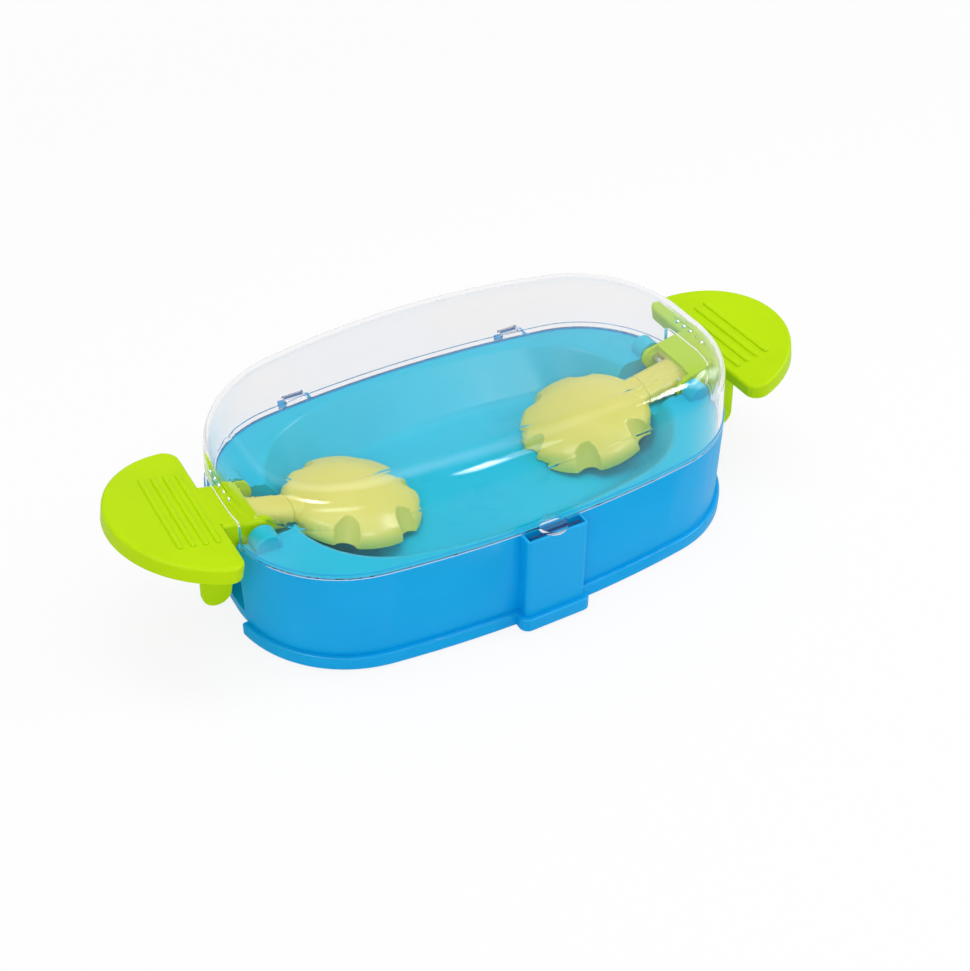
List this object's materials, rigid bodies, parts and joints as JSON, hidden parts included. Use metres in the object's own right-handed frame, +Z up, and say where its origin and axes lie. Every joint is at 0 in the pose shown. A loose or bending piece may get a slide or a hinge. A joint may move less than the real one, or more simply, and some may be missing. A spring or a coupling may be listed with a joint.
{
  "type": "dog puzzle toy",
  "caption": "Oval treat puzzle for dogs: rocking levers at both ends, pressed by paw, flip treats about in a dish under a hinged clear cover with a front latch.",
  "frame": {"origin": "centre of the overall box at floor level, under the rubber feet", "axes": "+Z up, +X along the oval from the left pedal to the right pedal, the latch faces -Y and the cover's hinge +Y"},
  "size_m": [0.4152, 0.182, 0.1128],
  "materials": {
    "blue_plastic": "satin moulded",
    "tray_plastic": "satin moulded",
    "lime_plastic": "satin moulded",
    "yellow_plastic": "satin moulded",
    "clear_plastic": "clear polished",
    "steel": "bright",
    "foot_rubber": "matte"
  },
  "bodies": {
    "base": {"base_shell": "blue_plastic", "feeding_tray": "tray_plastic", "bottom_floor": "blue_plastic", "floor_screws": "steel", "foot_front_left": "foot_rubber", "foot_front_right": "foot_rubber", "foot_back_left": "foot_rubber", "foot_back_right": "foot_rubber", "axle_cap_front_left": "tray_plastic", "axle_cap_front_right": "tray_plastic", "axle_cap_back_left": "tray_plastic", "axle_cap_back_right": "tray_plastic", "hinge_pin_left": "steel", "hinge_pin_right": "steel"},
    "lever_left": {"left_pedal": "lime_plastic", "left_paw": "yellow_plastic", "left_axle": "steel"},
    "lever_right": {"right_pedal": "lime_plastic", "right_paw": "yellow_plastic", "right_axle": "steel"},
    "cover": {"clear_cover": "clear_plastic"}
  },
  "joints": [
    {"name": "left_lever_pivot", "type": "hinge", "parent": "base", "child": "lever_left", "pos_m": [-0.134, 0.0039, 0.062], "axis": [0, -1, 0], "range_deg": [0, 24]},
    {"name": "right_lever_pivot", "type": "hinge", "parent": "base", "child": "lever_right", "pos_m": [0.134, 0.0039, 0.062], "axis": [0, 1, 0], "range_deg": [0, 24]},
    {"name": "cover_hinge", "type": "hinge", "parent": "base", "child": "cover", "pos_m": [0, 0.08805, 0.0572], "axis": [-1, 0, 0], "range_deg": [0, 95]}
  ]
}
